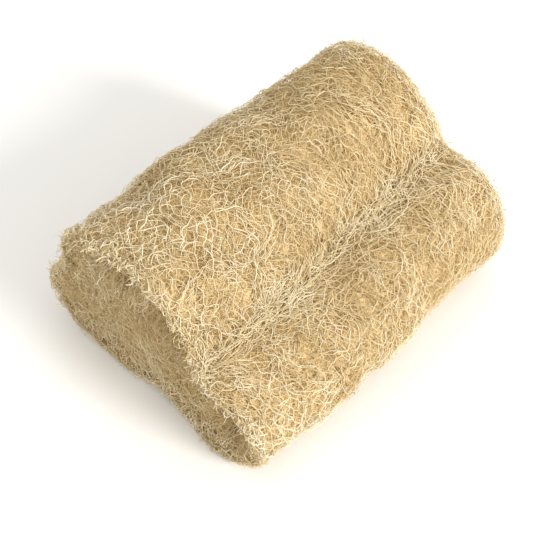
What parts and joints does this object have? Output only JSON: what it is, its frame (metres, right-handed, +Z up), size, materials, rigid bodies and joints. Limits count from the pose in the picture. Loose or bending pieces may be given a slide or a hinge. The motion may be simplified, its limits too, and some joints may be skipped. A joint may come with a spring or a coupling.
{
  "type": "natural loofah sponge",
  "caption": "Cut length of dried loofah gourd, squashed flat, for washing and scrubbing: a pale net of stiff fibres with seed channels running through.",
  "frame": {"origin": "on the surface the sponge lies on, at the middle of its bounding box", "axes": "+X along the gourd from the slanted cut to the straight one, +Y across towards the tall lobe, +Z up"},
  "size_m": [0.1567, 0.1334, 0.0843],
  "materials": {
    "dried_fibre": "dried plant fibre net, pale straw, matte with a faint gloss on single strands"
  },
  "bodies": {
    "root": {"loofah_sponge": "dried_fibre"}
  },
  "joints": []
}
